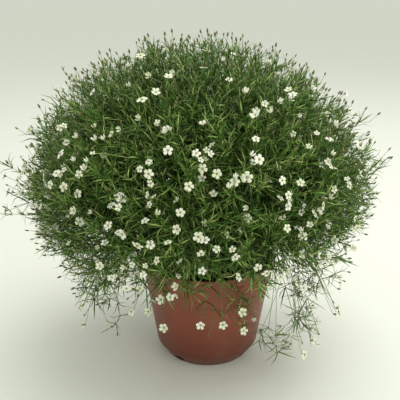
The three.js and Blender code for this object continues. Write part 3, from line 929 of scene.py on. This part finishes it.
spine = add_node(spray_tree, "GeometryNodeMeshToCurve", {"Mesh": of_kind(0)})
circle = add_node(
    spray_tree, "GeometryNodeCurvePrimitiveCircle", {"Resolution": given["Thread Sides"], "Radius": 1.0}
)
tube = add_node(
    spray_tree,
    "GeometryNodeCurveToMesh",
    {
        "Curve": spine.outputs[0],
        "Profile Curve": circle.outputs[0],
        "Scale": fact("thick", "FLOAT"),
        "Fill Caps": True,
    },
)
smooth = add_node(spray_tree, "GeometryNodeSetShadeSmooth", {"Geometry": tube.outputs[0]})
threads = add_node(
    spray_tree, "GeometryNodeSetMaterial", {"Geometry": smooth.outputs[0], "Material": given["Stem"]}
)
all_parts = add_node(spray_tree, "GeometryNodeJoinGeometry")
for part in [
    threads.outputs[0],
    repeat(LEAF, "Leaves", "Leaf", "X", "Z"),
    repeat(BUD, "Buds", "Bud", "X", "Z"),
    repeat(BLOOM, "Petals", "Petal", "Z", "X"),
    repeat(BLOOM, "Cups", "Bud", "Z", "X"),
    repeat(BLOOM, "Hearts", "Heart", "Z", "X"),
]:
    spray_tree.links.new(part, all_parts.inputs[0])
spray_tree.links.new(all_parts.outputs[0], result["Geometry"])


def grow_foliage(number, flowers):
    """The stem, twigs, leaves and buds of one spray, and the fine shoots of its share of the dome."""
    growth = Growth()
    draw = np.random.default_rng(100 + number)
    stray = number >= DOME_SPRAYS
    tip = spray_tip(number)
    out = unit(np.array([tip[0], tip[1], 0])) if stray else unit(tip - DOME_MIDDLE)
    side = unit(np.cross(UP, out))
    over = np.cross(out, side)
    controls = spray_line(tip, stray)
    stem = bezier(controls, np.linspace(0, STEM_SHARE, 22))
    growth.thread(stem, *STEM_THICKNESS)

    leaves, twigs = read_leafy("leafy_spray_%02d" % (number + 1))
    for foot, end in leaves:
        nearest = stem[np.linalg.norm(stem - foot, axis=1).argmin()]
        long = np.linalg.norm(end - foot)
        upper = unit(end - nearest) * 0.2 + UP
        shape = int(draw.integers(len(LEAF_FORMS)))
        growth.seat(LEAF, foot, end - foot, upper, (long, LEAF_WIDTH, long), shape, draw.uniform(), 0.6)
    for line in twigs:
        growth.thread(line[:-1], *TWIG_THICKNESS)
        aim = unit(line[-1] - line[-2])
        size = (BUD_SIZE[0], BUD_SIZE[1], BUD_SIZE[1])
        growth.seat(BUD, line[-2], aim, side, size, 0, draw.uniform(), 1.0)

    # The depth given to each kind of shoot sets how much painted shade its leaves get
    for kind, way in shoot_ways[number]:
        share = draw.uniform(*STRAY_PARTS) if stray else draw.uniform(*OUTER_PARTS)
        if kind == "low":
            share = draw.uniform(*LOW_PARTS)
        start, ahead = bezier(controls, [share, share + 0.02])
        if kind == "stray":
            reach = STRAY_SPREAD * math.sqrt(draw.uniform())
            turn = draw.uniform(0, 2 * math.pi)
            sideways = (side * math.cos(turn) + over * math.sin(turn)) * reach
            end = tip + sideways - out * draw.uniform(0, STRAY_BACK)
            end[2] += draw.uniform() * STRAY_SHOOTS[number - DOME_SPRAYS][1]
            outward = out
            depth = 1.0
        elif kind == "low":
            outward = unit(np.array([tip[0], tip[1], 0]) + 40 * draw.normal(size=3))
            high = draw.uniform(*LOW_HEIGHTS)
            furthest = LOW_REACH[1] + (high - LOW_HEIGHTS[0]) * LOW_REACH_PER_HEIGHT
            end = high * UP + outward * (1, 1, 0) * draw.uniform(LOW_REACH[0], furthest)
            depth = 0.4
        elif kind == "deep":
            outward = unit(way + 0.06 * draw.normal(size=3))
            end = dome_point(outward, SHOOTS_ABOVE) + outward * draw.uniform(*DEEP_STANDS)
            depth = 0.45
        else:
            outward = unit(way + 0.04 * draw.normal(size=3))
            stand = draw.triangular(*OUTER_STANDS) + max(0, draw.normal() * LOOSE_STAND * outward[2])
            if draw.uniform() < WILD_SHARE and abs(outward[2]) < WILD_BELOW:
                stand += draw.uniform(*WILD_STANDS)
            end = dome_point(outward, SHOOTS_ABOVE) + outward * stand
            end = np.clip(end, *SHOOT_LIMITS)
            depth = min(1.0, 1 + stand / 50)
        in_patch = end[2] < BLOOMS_BELOW and noise.noise(Vector(end / BLOOM_PATCH)) > PATCH_FROM
        bloom_share = BLOOM_SHARES[0] if in_patch else BLOOM_SHARES[1]
        holder = flowers if kind in ("outer", "stray") else None
        first = unit(ahead - start)
        shoot(growth, holder, bloom_share, start, first, end, outward, draw, depth, SHOOT_LEAVES[kind])
    return growth


# Each way over the dome goes to the nearest spray, but none lies where the pot's rim is open to view
shoot_ways = [[] for _ in range(SPRAYS)]
dome_tips = np.array([spray_tip(number) for number in range(DOME_SPRAYS)])
for kind, count in (("outer", SHOOTS), ("deep", DEEP_SHOOTS)):
    for way in even_ways(count):
        place = dome_point(way)
        in_front = place[1] < RIM_FRONT and RIM_SIDES[0] < place[0] < RIM_SIDES[1]
        if in_front and place[2] < SHOOTS_OVER_RIM:
            continue
        nearest = np.linalg.norm(dome_tips - place, axis=1).argmin()
        shoot_ways[nearest].append((kind, way))
for number in range(SPRAYS):
    if number < DOME_SPRAYS:
        shoot_ways[number] += [("low", None)] * LOW_SHOOTS
    else:
        shoot_ways[number] += [("stray", None)] * STRAY_SHOOTS[number - DOME_SPRAYS][0]

blossoms = [Growth() for _ in range(SPRAYS)]
for number in range(SPRAYS):
    foliage = grow_foliage(number, blossoms[number]).maker("foliage_%02d" % (number + 1))
    grow(foliage, spray_tree, {})
    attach(foliage, "root")
    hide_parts("leafy_spray_%02d" % (number + 1))


# Flower sprays
# Each is the flowering end of a spray: thread-like stalks with one bloom each. A bloom has five white petals
# with a notched end, spread flat from a green cup, and ten fine stamens round a green heart.
PETALS = 5
PETAL_THICKNESS = 0.03

# A petal's rows from its foot on (reach, height, half width), and its notched end (across, further out)
PETAL_ROWS = [(0.10, 0.52, 0.075), (0.44, 0.62, 0.31), (0.78, 0.66, 0.38), (1.0, 0.64, 0.27)]
NOTCHES = [(-1, -0.09), (-0.5, 0.0), (0, -0.06), (0.5, 0.0), (1, -0.09)]
SMALL_PETAL_ROWS = [(0.10, 0.52, 0.08), (0.62, 0.65, 0.37), (1.0, 0.64, 0.27)]
SMALL_NOTCHES = [(-1, -0.07), (0, -0.02), (1, -0.07)]

# The green cup's rings (height, radius), and the stamens' (share of their length, radius)
CUP_SIDES = 6
CUP_RINGS = [(0.0, 0.08), (0.16, 0.17), (0.42, 0.2), (0.56, 0.25), (0.5, 0.12)]
SMALL_CUP_SIDES = 5
SMALL_CUP_RINGS = [(0.0, 0.08), (0.3, 0.2), (0.56, 0.25), (0.5, 0.12)]
STAMENS = 5
STAMEN_REACH = 0.13
STAMEN_FOOT = 0.5
STAMEN_TOP = 0.78
PISTIL_TOP = 0.66
PISTIL_WIDER = 2.4
STAMEN_RINGS = [(0, 0.02), (0.82, 0.02), (0.92, 0.055)]
THIRD_TURN = 2.0944

# The stalks, and how the blooms of the solids are sized and turned
AXIS_THICKNESS = (0.9, 0.6)
BLOOM_STALK_THICKNESS = (0.6, 0.42)
BLOOM_FACTORS = (0.78, 0.98)
BLOOM_SWAY = 0.28
HALF_OPEN = 3
HALF_OPEN_ABOVE = 235
HALF_OPEN_SHARE = 0.7


def petals(form, rows, notches, draw):
    """Points and faces of five thin petals round the Z axis, for a bloom one unit in radius."""
    lift, narrow, ragged = form
    points, faces = [], []
    high_rows, wide_columns = len(rows), len(notches)
    around = [(0, c) for c in range(wide_columns)] + [(r, wide_columns - 1) for r in range(1, high_rows)]
    around += [(high_rows - 1, c) for c in range(wide_columns - 2, -1, -1)]
    around += [(r, 0) for r in range(high_rows - 2, 0, -1)]
    for petal in range(PETALS):
        angle = 2 * math.pi * petal / PETALS + draw.normal() * ragged
        droop = lift + draw.normal() * ragged
        size = narrow * (1 + draw.normal() * ragged * 0.6)
        first = len(points)
        for under in (PETAL_THICKNESS, 0):
            for r, (reach, high, half) in enumerate(rows):
                for column, notch in notches:
                    far = reach * size + (notch if r == high_rows - 1 else 0)
                    aside = half * column * narrow
                    z = high + droop * (reach - 0.1) ** 2 - 0.05 * column**2 * reach - under
                    x = far * math.cos(angle) - aside * math.sin(angle)
                    y = far * math.sin(angle) + aside * math.cos(angle)
                    points.append((x, y, z))
        index = lambda top, r, c: first + (top * high_rows + r) * wide_columns + c
        for r in range(high_rows - 1):
            for c in range(wide_columns - 1):
                cell = [(r, c), (r + 1, c), (r + 1, c + 1), (r, c + 1)]
                faces.append(tuple(index(1, *corner) for corner in cell))
                faces.append(tuple(index(0, *corner) for corner in cell[:1] + cell[:0:-1]))
        for here, on in zip(around, around[1:] + around[:1]):
            faces.append((index(0, *on), index(0, *here), index(1, *here), index(1, *on)))
    return points, faces


def green_cup(sides, rings):
    """Points and faces of the calyx: a narrow cup, hollow at its mouth."""
    turns = [2 * math.pi * k / sides for k in range(sides)]
    points = [(half * math.cos(turn), half * math.sin(turn), high) for high, half in rings for turn in turns]
    mouth = (len(rings) - 1) * sides
    ends = [tuple(reversed(range(sides))), tuple(range(mouth, mouth + sides))]
    return points, ends[:1] + ring_faces(sides, len(rings)) + ends[1:]


def stamens(count):
    """Points and faces of a short pistil in the middle and fine stamens with small heads round it."""
    points, faces = [], []
    for stamen in range(count + 1):
        angle = stamen * 2 * math.pi / max(count, 1) + 0.6
        reach = 0.0 if stamen == count else STAMEN_REACH
        top = STAMEN_TOP if reach else PISTIL_TOP
        foot = np.array([reach * 0.5 * math.cos(angle), reach * 0.5 * math.sin(angle), STAMEN_FOOT])
        head = np.array([reach * 1.5 * math.cos(angle), reach * 1.5 * math.sin(angle), top])
        rings = []
        for share, half in STAMEN_RINGS:
            middle = foot + (head - foot) * share
            wide = half * (1 if reach else PISTIL_WIDER)
            corners = [np.array([math.cos(k * THIRD_TURN), math.sin(k * THIRD_TURN), 0]) for k in range(3)]
            rings.append([middle + wide * corner for corner in corners])
        body, sides = pointed_body(rings, tuple(head + np.array([0, 0, 0.03])))
        faces += [tuple(len(points) + k for k in face) for face in sides]
        points += body
    return points, faces


# The full forms first, then the small ones with fewer faces
for n, form in enumerate(BLOOM_FORMS):
    shape = petals(form, PETAL_ROWS, NOTCHES, np.random.default_rng(n))
    keep_shape("petals %d" % n, *shape, petal_shapes)
    keep_shape("cup %d" % n, *green_cup(CUP_SIDES, CUP_RINGS), cup_shapes)
    keep_shape("heart %d" % n, *stamens(STAMENS), heart_shapes)
for n, form in enumerate(BLOOM_FORMS, len(BLOOM_FORMS)):
    shape = petals(form, SMALL_PETAL_ROWS, SMALL_NOTCHES, np.random.default_rng(n))
    keep_shape("petals %d" % n, *shape, petal_shapes)
    keep_shape("cup %d" % n, *green_cup(SMALL_CUP_SIDES, SMALL_CUP_RINGS), cup_shapes)
    keep_shape("heart %d" % n, *stamens(0), heart_shapes)

# Petal: thin matt tissue, from greenish cream to warm white from one bloom to the next.
petal_skin, tree, shader = new_material("white petal tissue", Roughness=0.65, IOR=1.4)
tone = add_node(tree, "ShaderNodeAttribute", attribute_name="tone").outputs["Fac"]
creams = add_node(
    tree, "ShaderNodeMix", {"Factor": tone, 6: linear("#dfe3c6"), 7: linear("#f1f0e2")}, data_type="RGBA"
)
tree.links.new(creams.outputs[2], shader.inputs["Base Color"])

# Stamens and pistil: pale green and matt.
heart_skin, _, _ = new_material("stamens", Base_Color=linear("#a9b878"), Roughness=0.6)


def read_flowers(name):
    """The blooms of a CAD spray as (foot or None, base, facing, side, radius)."""
    points, beside = read_node(name)
    blooms = []
    for heart, others in enumerate(beside):
        if len(others) < 12:
            continue
        stalk = set().union(*(beside[n] for n in others)) - others - {heart}
        base = points[sorted(stalk)].mean(0)
        below = set().union(*(beside[n] for n in stalk)) - others - stalk
        foot = points[sorted(below)].mean(0) if len(below) == 4 else None
        facing = unit(points[heart] - base)
        spokes = points[sorted(others)] - base
        spokes = spokes - np.outer(spokes @ facing, facing)
        lengths = np.linalg.norm(spokes, axis=1)
        outer = spokes[lengths > lengths.max() * 0.8]
        first = outer[0]
        mate = sorted(outer[1:], key=lambda spoke: np.linalg.norm(spoke - first))[0]
        blooms.append((foot, base, facing, unit(first + mate), lengths.max()))
    return blooms


for number, flowers in enumerate(blossoms):
    draw = np.random.default_rng(500 + number)
    controls = spray_line(spray_tip(number), number >= DOME_SPRAYS)
    flowers.thread(bezier(controls, np.linspace(STEM_SHARE, 1, 6)), *AXIS_THICKNESS)
    for foot, base, facing, side, radius in read_flowers("flower_spray_%02d" % (number + 1)):
        if foot is not None:
            bow = np.cross(base - foot, facing) * 0.1
            stalk = [foot, foot * 0.66 + base * 0.34 + bow, foot * 0.3 + base * 0.7 + bow, base]
            flowers.thread(stalk, *BLOOM_STALK_THICKNESS)
        wide = radius * draw.uniform(*BLOOM_FACTORS)
        facing = unit(facing + BLOOM_SWAY * draw.normal(size=3))
        if number >= DOME_SPRAYS:
            facing = unit(0.4 * facing + unit(np.array([base[0], base[1], 0])) + 0.4 * UP)
            wide = radius
        half_open = base[2] > HALF_OPEN_ABOVE and draw.uniform() < HALF_OPEN_SHARE
        shape = HALF_OPEN if half_open else int(draw.integers(HALF_OPEN))
        flowers.seat(BLOOM, base, facing, side, (wide, wide, wide), shape, draw.uniform(), 1.0)
    blossom = flowers.maker("blossom_%02d" % (number + 1))
    grow(blossom, spray_tree, {"Petal": petal_skin, "Heart": heart_skin})
    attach(blossom, "root")
    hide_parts("flower_spray_%02d" % (number + 1))

for shapes in (leaf_shapes, bud_shapes, petal_shapes, cup_shapes, heart_shapes):
    for shape in list(shapes.objects):
        bpy.data.objects.remove(shape)
    bpy.data.collections.remove(shapes)
